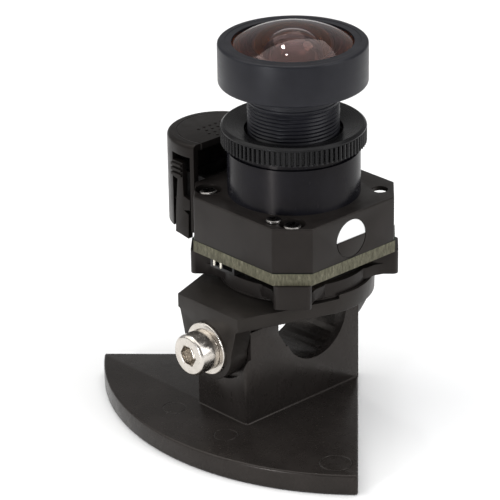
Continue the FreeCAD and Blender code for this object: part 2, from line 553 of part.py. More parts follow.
def makeHolder():
    body = newBody("lens_holder")
    extrude(body, "Z", "boardTop", "flangeTop", polygons=[cutCorners("flangeHalf", "flangeCorner")])
    fillet(body, "sideRound", upright)
    fillet(body, "flangeRound", lambda e: flatAt(e, "Z", d["flangeTop"]))
    revolve(body, [("0", "tubeFoot"), ("tubeRadius", "tubeFoot"), ("tubeRadius", "grooveLow"),
                   ("grooveRadius", "grooveLow"), ("grooveRadius", "tubeTop"), ("0", "tubeTop")])
    cavity = rectangle("-cavityHalf", "cavityHalf", "-cavityHalf", "cavityHalf")
    extrude(body, "Z", "boardTop - past", "filterLow", polygons=[cavity], cut=True)
    seat = rectangle("-filterHalf", "filterHalf", "-filterHalf", "filterHalf")
    extrude(body, "Z", "filterLow - past", "filterTop", polygons=[seat], cut=True)
    extrude(body, "Z", "filterTop - past", "boreFloor + past", circles=[("0", "0", "filterMouth")], cut=True)
    extrude(body, "Z", "boreFloor", "tubeTop + past", circles=[("0", "0", "lensBore")], cut=True)
    # three fastened corners, and one open lug that can be seen through
    fastened = [("screwSpread", "-screwSpread"), ("-screwSpread", "-screwSpread"), ("-screwSpread", "screwSpread")]
    sinks = [(across, up, "counterbore") for across, up in fastened]
    extrude(body, "Z", "counterFloor", "flangeTop + past", circles=sinks, cut=True)
    shanks = [(across, up, "screwHole") for across, up in fastened]
    extrude(body, "Z", "boardTop - past", "counterFloor + fuse", circles=shanks, cut=True)
    lug = [("screwSpread", "screwSpread", "lugHole")]
    extrude(body, "Z", "lugSkin - past", "flangeTop + past", circles=lug, cut=True)
    hollow = [("lugOuter", "lugSide"), ("lugOuter", "flangeHalf + fuse"), ("lugEnd", "flangeHalf + fuse"),
              ("lugEnd", "lugNear"), ("lugKneeX", "lugKneeY"), ("lugCorner", "lugSide")]
    extrude(body, "Z", "boardTop - past", "lugSkin", polygons=[hollow], cut=True)
    # half-round port in the side wall, inside a thin round line
    line = [("portMidY", "portMidZ", radius) for radius in ("portRadius", "portRadius - portLine")]
    extrude(body, "X", "portLineX", "flangeHalf + past", circles=line, cut=True)
    halfDisc = arcCorners("portMidY", "portMidZ", "portRadius", 0, 180)
    extrude(body, "X", "portFloorX", "flangeHalf + past", polygons=[halfDisc], cut=True)
    extrude(body, "Z", "flangeTop - grubDeep", "flangeTop + past", circles=[("grubX", "grubY", "grubRadius")], cut=True)

    insert = newBody("port_insert")
    extrude(insert, "X", "portFloorX", "portFlush", polygons=[halfDisc])

    irFilter = box("ir_filter", "-filterHalf", "filterHalf", "-filterHalf", "filterHalf", "filterLow", "filterTop")

    members = []
    for number, (across, up) in enumerate(fastened):
        members.append(cylinder(f"CapHead{number}", "capHead", "capHeadTall", across, up, "counterFloor"))
        members.append(cylinder(f"CapShank{number}", "holderShank", "shankTop - shankFoot", across, up, "shankFoot"))
    screws = doc.addObject("Part::MultiFuse", "holder_screws")
    screws.Label = "holder_screws"
    screws.Shapes = members

    grub = doc.addObject("Part::MultiFuse", "grub_screw")
    grub.Label = "grub_screw"
    grub.Shapes = [cylinder("GrubHead", "grubHead", "grubHeadTall", "grubX", "grubY", "flangeTop"),
                   cylinder("GrubShank", "grubRadius", "grubDeep", "grubX", "grubY", "flangeTop - grubShank")]
    return [body, insert, irFilter, screws, grub]


def makeLockRing():
    return turned("lock_ring", [
        ("ringBore", "ringLow"), ("ringRadius - ringFoot", "ringLow"), ("ringRadius", "ringLow + ringFoot"),
        ("ringRadius", "ringTop - ringBevel"), ("ringRadius - ringBevel", "ringTop"),
        ("ringMouth", "ringTop - ringDish"), ("ringMouth", "ringTop - ringDish - ringWall"),
        ("ringBore", "ringTop - ringDish - ringWall - ringSlope"),
    ])


def makeBarrel():
    body = turned("lens_barrel", [
        ("barrelBore", "threadLow"), ("threadRadius - threadBevel", "threadLow"),
        ("threadRadius", "threadLow + threadBevel"),
        ("threadRadius", "collarLow"), ("collarRadius", "collarLow"), ("collarRadius", "headLow"),
        ("headOuter - headBevel", "headLow"), ("headOuter", "headLow + headBevel"),
        ("headOuter", "headTop - headBevel"), ("headOuter - headBevel", "headTop"), ("rimOuter", "headTop"),
        ("rimOuter", "rimLow"), ("frontSeat", "rimLow"), ("frontSeat", "frontSeatZ"),
        ("bellRadius", "frontSeatZ"), ("bellRadius", "barrelBoreTop"), ("barrelBore", "barrelBoreTop"),
    ])
    seal = turned("front_seal", ringOutline("sealInner", "sealOuter", "frontSeatZ", "frontSeatZ + sealTall"))
    rim = turned("front_retainer", ringOutline("rimInner", "rimOuter", "rimLow", "rimTop"))
    retainer = turned("rear_retainer", ringOutline("retainerBore", "barrelBore", "retainerLow", "retainerTop"))
    return [body, seal, rim, retainer]


def sphere(name, radius, centreZ):
    thing = doc.addObject("Part::Sphere", name)
    bind(thing, "Radius", radius)
    bind(thing, "Placement.Base.z", centreZ)
    return thing


def common(name, first, second):
    thing = doc.addObject("Part::Common", name)
    thing.Base = first
    thing.Tool = second
    thing.Label = name
    return thing


def cutFrom(name, first, second):
    thing = doc.addObject("Part::Cut", name)
    thing.Base = first
    thing.Tool = second
    thing.Label = name
    return thing


def cappedGlass(label, radius, low, high, curve):
    """A disc of glass whose top is a spherical cap that reaches the given height."""
    disc = cylinder(f"{label}Disc", radius, f"({high}) - ({low})", z=low)
    return common(label, disc, sphere(f"{label}Cap", curve, f"({high}) - {curve}"))


def makeGlass():
    pieces = []
    sag = "(glassCurve - sqrt(glassCurve * glassCurve - rimInner * rimInner))"
    seat = "frontSeatZ + sealTall"
    disc = cylinder("FrontDisc", "sealOuter", f"glassEdge + {sag} - ({seat})", z=seat)
    dome = common("FrontDome", disc, sphere("FrontCap", "glassCurve", f"glassEdge + {sag} - glassCurve"))
    hollow = sphere("FrontHollow", "glassInnerCurve", f"{seat} - hollowDrop")
    pieces.append(cutFrom("front_element", dome, hollow))

    bump = common("SecondBump", cylinder("SecondColumn", "secondBump", "secondTall", z="barrelBoreTop"),
                  sphere("SecondCap", "secondCurve", "barrelBoreTop + secondBase"))
    second = doc.addObject("Part::Fuse", "second_element")
    second.Label = "second_element"
    second.Base = cylinder("SecondDisc", "secondRadius", "secondRim", z="barrelBoreTop")
    second.Tool = bump
    pieces.append(second)

    third = cappedGlass("ThirdSolid", "glassRadius", "thirdLow", "thirdTop", "thirdCurve")
    pieces.append(cutFrom("third_element", third, sphere("ThirdHollow", "thirdHollow", "thirdHollowZ")))
    pieces.append(cappedGlass("doublet_crown", "glassRadius", "crownLow", "crownTop", "crownCurve"))
    pieces.append(turned("doublet_flint", ringOutline("0", "glassRadius", "flintLow", "crownLow")))
    pieces.append(cappedGlass("rear_element", "glassRadius", "retainerTop", "rearTop", "rearCurve"))

    spacers = [
        ("front_spacer", "frontSpacerBore", "thirdTop", "barrelBoreTop"),
        ("stop_spacer", "spacerBore", "stopTop", "thirdLow"),
        ("aperture_stop", "stopRadius", "stopLow", "stopTop"),
        ("middle_spacer", "spacerBore", "crownTop", "stopLow"),
        ("rear_spacer", "spacerBore", "rearTop", "flintLow"),
    ]
    for label, bore, low, high in spacers:
        pieces.append(turned(label, ringOutline(bore, "glassRadius", low, high)))
    return pieces


# corners of a latch: across from the latch's middle, and height
latchCorners = [
    ("-0.75", "22.5"), ("1.75", "22.15"), ("1.85", "25.6"), ("0.95", "26.0"), ("2.15", "26.3"), ("2.15", "27.7"),
    ("0.95", "28.0"), ("0.85", "30.3"), ("0.85", "32.6"), ("-1.15", "32.6"), ("-1.15", "30.4"), ("-0.15", "30.1"),
    ("-0.55", "26.2"),
]


def latchOutline():
    """Arm with a grip at its top, a short bridge to the cover and a hooked tongue at its foot."""
    return [(f"latchMidX + ({across})", up) for across, up in latchCorners]


def makeSideCover():
    body = newBody("side_cover")
    round_ = ("coverMidX", "coverMidY", "coverRadius")
    extrude(body, "Z", "coverLow", "coverTop", circles=[round_])
    fillet(body, "coverRound", lambda e: flatAt(e, "Z", d["coverTop"]))
    flat = rectangle("coverFlat", "coverFlat + coverFar", "-coverFar", "coverFar")
    extrude(body, "Z", "coverLow - past", "coverTop + past", polygons=[flat], cut=True)
    inside = ("coverMidX", "coverMidY", "coverRadius - coverWall")
    extrude(body, "Z", "coverLow - past", "coverRoof", circles=[inside], cut=True)
    window = rectangle("latchMidX - windowLeft", "latchMidX + windowRight", "coverLow - past", "windowTop")
    extrude(body, "Y", "coverMidY - coverFar", "coverMidY + coverFar", polygons=[window], cut=True)
    pivots = [(f"coverMidY {sign} pivotAside", "pivotZ", "pivotHole") for sign in "+-"]
    ends = ("latchMidX - pivotLeft - pivotSlack", "latchMidX + pivotRight + pivotSlack")
    extrude(body, "X", *ends, circles=pivots, cut=True)
    pieces = [body]
    for label, side in (("latch_front", -1), ("latch_rear", 1)):
        latch = newBody(label)
        faces = ("latchIn", "latchOut", "latchOut + ribProud")
        inner, outer, proud = [f"coverMidY + {side} * ({away})" for away in faces]
        extrude(latch, "Y", *((inner, outer)[::side]), polygons=[latchOutline()])
        pivot = (f"coverMidY + {side} * pivotAside", "pivotZ", "pivotRadius")
        extrude(latch, "X", "latchMidX - pivotLeft", "latchMidX + pivotRight", circles=[pivot])
        for number in range(3):
            low = f"ribLow + {number} * ribPitch"
            rib = rectangle("latchMidX - ribLeft", "latchMidX + ribRight", low, f"{low} + ribTall")
            extrude(latch, "Y", *((outer, proud)[::side]), polygons=[rib])
        pieces.append(latch)
    return pieces


pinSteps = (-1.5, -0.5, 0.5, 1.5)

nodes.append(makeFoot())
nodes.append(makeTiltBracket())
nodes.extend(makeClamp())
nodes.extend(makeCarrier())
nodes.extend(makeBoard())
nodes.extend(makeHolder())
nodes.append(makeLockRing())
nodes.extend(makeBarrel())
nodes.extend(makeGlass())
nodes.extend(makeSideCover())

doc.recompute()
os.makedirs("parts", exist_ok=True)
for node in nodes:
    for thing in doc.Objects:
        if "Invalid" in thing.State or "Error" in thing.State:
            raise RuntimeError(f"{thing.Name} ({thing.Label}) failed: {thing.State}")
    shape = node.Shape
    if shape.isNull() or not shape.isValid():
        raise RuntimeError(f"{node.Label}: bad shape")
    shape.exportStep(f"parts/{node.Label}.step")
    print(f"{node.Label:22s} solids {len(shape.Solids)} volume {shape.Volume:9.2f}")
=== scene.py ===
import math

import bmesh
import bpy
from mathutils import Matrix, Vector


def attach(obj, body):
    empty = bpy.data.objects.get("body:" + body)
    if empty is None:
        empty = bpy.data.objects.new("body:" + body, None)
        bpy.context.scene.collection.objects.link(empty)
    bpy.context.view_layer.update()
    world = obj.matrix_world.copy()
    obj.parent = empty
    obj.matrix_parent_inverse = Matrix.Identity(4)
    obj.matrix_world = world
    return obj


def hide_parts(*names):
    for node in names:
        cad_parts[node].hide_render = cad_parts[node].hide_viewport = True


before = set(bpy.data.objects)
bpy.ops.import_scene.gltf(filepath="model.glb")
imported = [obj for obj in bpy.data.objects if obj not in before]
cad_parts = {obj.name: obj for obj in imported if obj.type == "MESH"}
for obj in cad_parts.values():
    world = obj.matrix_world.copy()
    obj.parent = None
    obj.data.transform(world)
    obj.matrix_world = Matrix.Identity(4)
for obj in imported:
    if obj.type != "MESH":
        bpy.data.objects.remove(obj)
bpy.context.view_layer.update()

# Camera module on a tilting, swivelling bracket. Sizes in the dictionaries are millimetres.
# X runs across the tilt axis, Y along it, Z up. The lens axis is the Z axis.
mm = 0.001
scene = bpy.context.scene


def link(name, mesh):
    obj = bpy.data.objects.new(name, mesh)
    scene.collection.objects.link(obj)
    return obj


def meshFrom(name, points, faces):
    mesh = bpy.data.meshes.new(name)
    mesh.from_pydata([tuple(c * mm for c in point) for point in points], [], faces)
    return mesh


def tidyNormals(mesh):
    bm = bmesh.new()
    bm.from_mesh(mesh)
    bmesh.ops.recalc_face_normals(bm, faces=bm.faces)
    bm.to_mesh(mesh)
    bm.free()


# corners are (across, up, radius); each corner with a radius becomes an arc
def roundOutline(corners, steps=4):
    out = []
    count = len(corners)
    for index, (x, y, radius) in enumerate(corners):
        here = Vector((x, y))
        if not radius:
            out.append(here)
            continue
        back = (Vector(corners[index - 1][:2]) - here)
        ahead = (Vector(corners[(index + 1) % count][:2]) - here)
        half = back.angle(ahead) / 2
        reach = min(radius / math.tan(half), back.length * 0.49, ahead.length * 0.49)
        size = reach * math.tan(half)
        middle = here + (back.normalized() + ahead.normalized()).normalized() * (size / math.sin(half))
        start = here + back.normalized() * reach - middle
        end = here + ahead.normalized() * reach - middle
        sweep = start.angle_signed(end)
        for step in range(steps + 1):
            turn = -sweep * step / steps
            out.append(middle + Matrix.Rotation(turn, 2) @ start)
    return [(p.x, p.y) for p in out]


# turns a radius-height outline about the lens axis; a radius of 0 is a pole
def lathe(name, outline, segments=128):
    points, rows = [], []
    for radius, height in outline:
        if radius < 1e-6:
            rows.append([len(points)] * segments)
            points.append((0, 0, height))
            continue
        rows.append(list(range(len(points), len(points) + segments)))
        for step in range(segments):
            angle = 2 * math.pi * step / segments
            points.append((radius * math.cos(angle), radius * math.sin(angle), height))
    faces = []
    openEnds = outline[0][0] < 1e-6 and outline[-1][0] < 1e-6
    pairs = list(zip(rows, rows[1:])) + ([] if openEnds else [(rows[-1], rows[0])])
    for lower, upper in pairs:
        for step in range(segments):
            following = (step + 1) % segments
            ring = [lower[step], lower[following], upper[following], upper[step]]
            face = list(dict.fromkeys(ring))
            if len(face) > 2:
                faces.append(face)
    mesh = meshFrom(name, points, faces)
    tidyNormals(mesh)
    return link(name, mesh)


# applies the modifiers and shades smooth, with hard edges past an angle
def settle(obj, sharp=34):
    if obj.modifiers:
        graph = bpy.context.evaluated_depsgraph_get()
        graph.update()
        mesh = bpy.data.meshes.new_from_object(obj.evaluated_get(graph))
        obj.modifiers.clear()
        obj.data = mesh
    obj.data.shade_smooth()
    obj.data.set_sharp_from_angle(angle=math.radians(sharp))
    return obj


def bevel(obj, width, segments=3, angle=28):
    mod = obj.modifiers.new("softEdges", "BEVEL")
    mod.width = width * mm
    mod.segments = segments
    mod.limit_method = "ANGLE"
    mod.angle_limit = math.radians(angle)
    return obj


# a merged copy of a CAD node; above is a height to cut it off at, and the cut is closed
def cadCopy(node, name, round=0.15, segments=3, angle=28, above=None):
    bm = bmesh.new()
    bm.from_mesh(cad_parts[node].data)
    bmesh.ops.remove_doubles(bm, verts=bm.verts, dist=0.002 * mm)
    if above is not None:
        everything = bm.verts[:] + bm.edges[:] + bm.faces[:]
        cut = bmesh.ops.bisect_plane(bm, geom=everything, plane_co=(0, 0, above * mm), plane_no=(0, 0, -1),
                                     clear_outer=True)
        rim = [item for item in cut["geom_cut"] if isinstance(item, bmesh.types.BMEdge)]
        bmesh.ops.contextual_create(bm, geom=rim)
        bmesh.ops.recalc_face_normals(bm, faces=bm.faces)
    bmesh.ops.dissolve_limit(bm, angle_limit=math.radians(0.8), verts=bm.verts, edges=bm.edges)
    bm.verts.index_update()
    mesh = bpy.data.meshes.new(name)
    mesh.from_pydata([tuple(v.co) for v in bm.verts], [], [[v.index for v in f.verts] for f in bm.faces])
    bm.free()
    obj = link(name, mesh)
    if round:
        bevel(obj, round, segments, angle)
    return settle(obj)


# puts the other objects' meshes into the first one
def joined(first, *others):
    bm = bmesh.new()
    for obj in (first, *others):
        bm.from_mesh(obj.data)
    bm.to_mesh(first.data)
    bm.free()
    for obj in others:
        bpy.data.objects.remove(obj)
    return settle(first)


# a flat plate with the given outline
def plate(name, corners, low, high):
    count = len(corners)
    points = [(x, y, low) for x, y in corners] + [(x, y, high) for x, y in corners]
    faces = [list(range(count))[::-1], list(range(count, 2 * count))]
    for step in range(count):
        following = (step + 1) % count
        faces.append([step, following, following + count, step + count])
    mesh = meshFrom(name, points, faces)
    tidyNormals(mesh)
    return link(name, mesh)


# a hollow fillet round the foot of a rectangular post
def cove(name, left, right, front, rear, low, size, corner, steps=5):
    spots = [(left, front), (right, front), (right, rear), (left, rear)]
    profile = [(-0.1, low)]
    for step in range(steps + 1):
        angle = math.pi * (1.5 - 0.5 * step / steps)
        profile.append((size + size * math.cos(angle), low + size + size * math.sin(angle)))
    profile.append((-0.1, low + size))
    points, faces = [], []
    for out, height in profile:
        ring = roundOutline([(x + (out if x > 0 else -out), y + (out if y > front else -out), corner + out)
                             for x, y in spots], 4)
        points += [(x, y, height) for x, y in ring]
    count = len(points) // len(profile)
    for level in range(len(profile)):
        upper = (level + 1) % len(profile)
        for step in range(count):
            following = (step + 1) % count
            faces.append([level * count + step, level * count + following,
                          upper * count + following, upper * count + step])
    mesh = meshFrom(name, points, faces)
    tidyNormals(mesh)
    return link(name, mesh)


# gives a piece its finish and its body, and hides the CAD nodes that it stands for
def finish(obj, material, body, slot, *nodes):
    obj.data.materials.clear()
    obj.data.materials.append(material)
    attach(obj, body)
    if nodes:
        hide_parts(*nodes)
    return obj


def newTree(title, inputs):
    tree = bpy.data.node_groups.new(title, "GeometryNodeTree")
    tree.interface.new_socket("Geometry", in_out="INPUT", socket_type="NodeSocketGeometry")
    for label, kind in inputs:
        tree.interface.new_socket(label, in_out="INPUT", socket_type="NodeSocket" + kind)
    tree.interface.new_socket("Geometry", in_out="OUTPUT", socket_type="NodeSocketGeometry")
    return tree, tree.nodes.new("NodeGroupInput"), tree.nodes.new("NodeGroupOutput")


# runs a node tree on an object and keeps its result as a plain mesh
def runTree(obj, tree, values):
    mod = obj.modifiers.new("rule", "NODES")
    mod.node_group = tree
    for item in tree.interface.items_tree:
        if item.in_out == "INPUT" and item.name in values:
            mod[item.identifier] = values[item.name]
    return settle(obj)


def maths(tree, kind, first, second=None, third=None):
    node = tree.nodes.new("ShaderNodeMath")
    node.operation = kind
    for socket, given in zip(node.inputs, (first, second, third)):
        if given is None:
            continue
        if isinstance(given, (int, float)):
            socket.default_value = given
        else:
            tree.links.new(given, socket)
    return node.outputs[0]


# cuts a thread into the outside of a turned piece, between two heights
def threadTree():
    tree, given, out = newTree("screwThread", [
        ("Pitch", "Float"), ("Depth", "Float"), ("Low", "Float"), ("High", "Float"), ("Crest", "Float"),
        ("Finish", "Material")])
    here = tree.nodes.new("GeometryNodeInputPosition")
    parts = tree.nodes.new("ShaderNodeSeparateXYZ")
    tree.links.new(here.outputs[0], parts.inputs[0])
    x, y, z = parts.outputs
    squares = [maths(tree, "MULTIPLY", axis, axis) for axis in (x, y)]
    radius = maths(tree, "SQRT", maths(tree, "ADD", *squares))
    turn = maths(tree, "DIVIDE", maths(tree, "ARCTAN2", y, x), 2 * math.pi)
    phase = maths(tree, "SUBTRACT", maths(tree, "DIVIDE", z, given.outputs["Pitch"]), turn)
    wave = maths(tree, "PINGPONG", phase, 0.5)
    dig = maths(tree, "MULTIPLY", maths(tree, "MULTIPLY", wave, 2), given.outputs["Depth"])
    scale = maths(tree, "DIVIDE", maths(tree, "SUBTRACT", radius, dig), radius)
    place = tree.nodes.new("ShaderNodeCombineXYZ")
    tree.links.new(maths(tree, "MULTIPLY", x, scale), place.inputs[0])
    tree.links.new(maths(tree, "MULTIPLY", y, scale), place.inputs[1])
    tree.links.new(z, place.inputs[2])
    outer = maths(tree, "GREATER_THAN", radius, maths(tree, "SUBTRACT", given.outputs["Crest"], 0.01 * mm))
    above = maths(tree, "GREATER_THAN", z, given.outputs["Low"])
    below = maths(tree, "LESS_THAN", z, given.outputs["High"])
    chosen = maths(tree, "MULTIPLY", outer, maths(tree, "MULTIPLY", above, below))
    setPlace = tree.nodes.new("GeometryNodeSetPosition")
    tree.links.new(given.outputs["Geometry"], setPlace.inputs["Geometry"])
    tree.links.new(chosen, setPlace.inputs["Selection"])
    tree.links.new(place.outputs[0], setPlace.inputs["Position"])
    endTree(tree, setPlace.outputs[0], given, out)
    return tree


def endTree(tree, geometry, given, out):
    realize = tree.nodes.new("GeometryNodeRealizeInstances")
    paint = tree.nodes.new("GeometryNodeSetMaterial")
    tree.links.new(geometry, realize.inputs[0])
    tree.links.new(realize.outputs[0], paint.inputs["Geometry"])
    tree.links.new(given.outputs["Finish"], paint.inputs["Material"])
    tree.links.new(paint.outputs[0], out.inputs[0])


# straight teeth in a ring about the Z axis
def knurlTree():
    tree, given, out = newTree("straightKnurl", [
        ("Teeth", "Int"), ("Radius", "Float"), ("Tooth Radius", "Float"), ("Height", "Float"),
        ("Middle", "Float"), ("Finish", "Material")])
    ring = tree.nodes.new("GeometryNodeMeshCircle")
    tree.links.new(given.outputs["Teeth"], ring.inputs["Vertices"])
    tree.links.new(given.outputs["Radius"], ring.inputs["Radius"])
    tooth = tree.nodes.new("GeometryNodeMeshCylinder")
    tooth.inputs["Vertices"].default_value = 10
    tooth.inputs["Side Segments"].default_value = 1
    tree.links.new(given.outputs["Tooth Radius"], tooth.inputs["Radius"])
    tree.links.new(given.outputs["Height"], tooth.inputs["Depth"])
    lift = tree.nodes.new("ShaderNodeCombineXYZ")
    tree.links.new(given.outputs["Middle"], lift.inputs[2])
    raised = tree.nodes.new("GeometryNodeSetPosition")
    tree.links.new(tooth.outputs["Mesh"], raised.inputs["Geometry"])
    tree.links.new(lift.outputs[0], raised.inputs["Offset"])
    spread = tree.nodes.new("GeometryNodeInstanceOnPoints")
    tree.links.new(ring.outputs[0], spread.inputs["Points"])
    tree.links.new(raised.outputs[0], spread.inputs["Instance"])
    endTree(tree, spread.outputs[0], given, out)
    return tree


# puts one small object at every point of a mesh
def copiesTree():
    tree, given, out = newTree("copiesAtPoints", [("Unit", "Object"), ("Finish", "Material")])
    unit = tree.nodes.new("GeometryNodeObjectInfo")
    unit.inputs["As Instance"].default_value = True
    tree.links.new(given.outputs["Unit"], unit.inputs["Object"])
    spread = tree.nodes.new("GeometryNodeInstanceOnPoints")
    tree.links.new(given.outputs["Geometry"], spread.inputs["Points"])
    tree.links.new(unit.outputs["Geometry"], spread.inputs["Instance"])
    endTree(tree, spread.outputs[0], given, out)
    return tree


def copies(name, unit, places, material):
    obj = link(name, meshFrom(name, places, []))
    runTree(obj, copiesRule, {"Unit": unit, "Finish": material})
    bpy.data.objects.remove(unit)
    return obj


# a node material: the sockets take plain values here, and patterns are linked after
def shader(name, **values):
    material = bpy.data.materials.new(name)
    material.use_nodes = True
    tree = material.node_tree
    tree.nodes.clear()
    surface = tree.nodes.new("ShaderNodeBsdfPrincipled")
    output = tree.nodes.new("ShaderNodeOutputMaterial")
    tree.links.new(surface.outputs[0], output.inputs[0])
    for label, given in values.items():
        surface.inputs[label].default_value = given
    return material, tree, surface


def coordinates(tree, scale=(1, 1, 1), shift=(0, 0, 0)):
    place = tree.nodes.new("ShaderNodeTexCoord")
    mapping = tree.nodes.new("ShaderNodeMapping")
    mapping.inputs["Scale"].default_value = scale
    mapping.inputs["Location"].default_value = shift
    tree.links.new(place.outputs["Object"], mapping.inputs["Vector"])
    return mapping.outputs[0]


# noise whose blobs are about the given size in millimetres
def noise(tree, size, detail=3, stretch=(1, 1, 1), rough=0.5):
    node = tree.nodes.new("ShaderNodeTexNoise")
    node.inputs["Scale"].default_value = 1 / (size * mm)
    node.inputs["Detail"].default_value = detail
    node.inputs["Roughness"].default_value = rough
    tree.links.new(coordinates(tree, stretch), node.inputs["Vector"])
    return node.outputs["Fac"]


def ramp(tree, factor, stops):
    node = tree.nodes.new("ShaderNodeValToRGB")
    band = node.color_ramp
    while len(band.elements) < len(stops):
        band.elements.new(0.5)
    for element, (place, colour) in zip(band.elements, stops):
        element.position = place
        element.color = (*colour, 1) if len(colour) == 3 else colour
    tree.links.new(factor, node.inputs["Fac"])
    return node.outputs["Color"]


def span(tree, factor, low, high, fromLow=0.3, fromHigh=0.7):
    node = tree.nodes.new("ShaderNodeMapRange")
    for label, given in zip(("From Min", "From Max", "To Min", "To Max"), (fromLow, fromHigh, low, high)):
        node.inputs[label].default_value = given
    tree.links.new(factor, node.inputs["Value"])
    return node.outputs["Result"]


# bump whose full height is depth in millimetres
def relief(tree, surface, height, depth, strength=1.0, under=None):
    node = tree.nodes.new("ShaderNodeBump")
    node.inputs["Strength"].default_value = strength
    node.inputs["Distance"].default_value = depth * mm
    tree.links.new(height, node.inputs["Height"])
    if under is not None:
        tree.links.new(under, node.inputs["Normal"])
    tree.links.new(node.outputs[0], surface.inputs["Normal"])
    return node.outputs[0]


# distance from a line through a point, along one axis, in metres
def distance(tree, place, along="Z"):
    mapping = tree.nodes.new("ShaderNodeMapping")
    mapping.inputs["Location"].default_value = tuple(-c * mm for c in place)
    mapping.inputs["Scale"].default_value = [0 if along == letter else 1 for letter in "XYZ"]
    spot = tree.nodes.new("ShaderNodeTexCoord")
    tree.links.new(spot.outputs["Object"], mapping.inputs["Vector"])
    length = tree.nodes.new("ShaderNodeVectorMath")
    length.operation = "LENGTH"
    tree.links.new(mapping.outputs[0], length.inputs[0])
    return length.outputs["Value"]


# 1 on a ring of the given radius and width in millimetres, falling to 0 beside it
def ringLine(tree, far, radius, width):
    away = maths(tree, "ABSOLUTE", maths(tree, "SUBTRACT", far, radius * mm))
    return span(tree, away, 1, 0, 0, width * mm)


# black injection-moulded plastic: faint flow marks, fine grain, handling scuffs and round mould marks
def mouldedPlastic(name, dark, light, gloss, grain=0.12, depth=0.004, specular=0.5, marks=(), markDeep=0.05):
    material, tree, surface = shader(name, **{"IOR": 1.5, "Specular IOR Level": specular})
    cloud = noise(tree, 5.0, 4)
    tree.links.new(ramp(tree, cloud, [(0.3, dark), (0.7, light)]), surface.inputs["Base Color"])
    surface.inputs["Specular Tint"].default_value = (1.0, 0.91, 0.84, 1)
    scuff = noise(tree, 1.4, 4, (1, 1, 0.7), 0.6)
    tree.links.new(span(tree, scuff, gloss[0], gloss[1]), surface.inputs["Roughness"])
    under = relief(tree, surface, noise(tree, 3.5, 1), 0.006)
    for place, radius, width in marks:
        groove = maths(tree, "SUBTRACT", 1, ringLine(tree, distance(tree, place), radius, width))
        under = relief(tree, surface, groove, markDeep, under=under)
    relief(tree, surface, noise(tree, grain, 2), depth, under=under)
    return material


# black anodised metal with fine turning lines round the lens axis
def anodised(name, dark, light, gloss, line=0.05, depth=0.002, specular=0.3):
    material, tree, surface = shader(name, **{"Specular IOR Level": specular, "IOR": 1.6})
    cloud = noise(tree, 3.0, 3)
    tree.links.new(ramp(tree, cloud, [(0.3, dark), (0.7, light)]), surface.inputs["Base Color"])
    lines = noise(tree, line, 2, (0.02, 0.02, 1))
    tree.links.new(span(tree, lines, gloss[0], gloss[1]), surface.inputs["Roughness"])
    relief(tree, surface, lines, depth)
    return material


# nickel-plated steel with turned faces about the clamp screw's axis
def plated(name, base, tint, gloss, line=0.06):
    material, tree, surface = shader(name, **{"Metallic": 1.0})
    cloud = noise(tree, 1.2, 3)
    tree.links.new(ramp(tree, cloud, [(0.3, base), (0.7, tint)]), surface.inputs["Base Color"])
    lines = tree.nodes.new("ShaderNodeTexNoise")
    lines.noise_dimensions = "1D"
    lines.inputs["Scale"].default_value = 1 / (line * mm)
    tree.links.new(distance(tree, (0, 0, 13.1), "Y"), lines.inputs["W"])
    tree.links.new(span(tree, noise(tree, 0.5, 4), gloss[0], gloss[1]), surface.inputs["Roughness"])
    relief(tree, surface, lines.outputs["Fac"], 0.0015)
    return material


# glass-fibre board: sawn olive edge with a few pale strokes, green mask on its faces
def laminate(name):
    material, tree, surface = shader(name, **{"IOR": 1.5, "Specular IOR Level": 0.3})
    streak = noise(tree, 0.30, 4, (1, 1, 0.35), 0.7)
    edge = ramp(tree, streak, [(0.30, (0.046, 0.042, 0.026)), (0.48, (0.085, 0.080, 0.050)),
                               (0.62, (0.120, 0.113, 0.074)), (0.74, (0.22, 0.21, 0.15))])
    stroke = span(tree, noise(tree, 1.1, 3, (1, 1, 0.02), 0.8), 0, 1, 0.66, 0.70)
    weave = noise(tree, 1.6, 3)
    mask = ramp(tree, weave, [(0.3, (0.010, 0.020, 0.012)), (0.7, (0.016, 0.032, 0.018))])
    normal = tree.nodes.new("ShaderNodeNewGeometry")
    parts = tree.nodes.new("ShaderNodeSeparateXYZ")
    tree.links.new(normal.outputs["True Normal"], parts.inputs[0])
    flat = maths(tree, "GREATER_THAN", maths(tree, "ABSOLUTE", parts.outputs[2]), 0.8)
    sawn = blend(tree, stroke, edge, (0.45, 0.44, 0.36, 1))
    tree.links.new(blend(tree, flat, sawn, mask), surface.inputs["Base Color"])
    tree.links.new(span(tree, streak, 0.75, 0.5), surface.inputs["Roughness"])
    relief(tree, surface, streak, 0.03)
    return material


# mixes two colours; either may be a plain colour
def blend(tree, factor, first, second):
    mix = tree.nodes.new("ShaderNodeMix")
    mix.data_type = "RGBA"
    tree.links.new(factor, mix.inputs["Factor"])
    for socket, given in ((mix.inputs[6], first), (mix.inputs[7], second)):
        if isinstance(given, tuple):
            socket.default_value = given
        else:
            tree.links.new(given, socket)
    return mix.outputs[2]


# opaque finish whose colour changes from the middle to the rim; stops are (radius in mm, colour)
def coloured(name, stops, reach, rough, ridge=0.0, ridgeDeep=0.1):
    material, tree, surface = shader(name, **{"Specular IOR Level": 0.35})
    far = maths(tree, "DIVIDE", distance(tree, (0, 0, 0)), reach * mm)
    wobble = maths(tree, "ADD", far, span(tree, noise(tree, 1.5, 3), -0.03, 0.03))
    tree.links.new(ramp(tree, wobble, [(radius / reach, colour) for radius, colour in stops]),
                   surface.inputs["Base Color"])
    tree.links.new(span(tree, noise(tree, 0.6, 3), rough[0], rough[1]), surface.inputs["Roughness"])
    under = relief(tree, surface, noise(tree, 0.15, 2), 0.003)
    if ridge:
        wave = maths(tree, "PINGPONG", maths(tree, "DIVIDE", far, ridge / reach), 0.5)
        relief(tree, surface, wave, ridgeDeep, under=under)
    return material


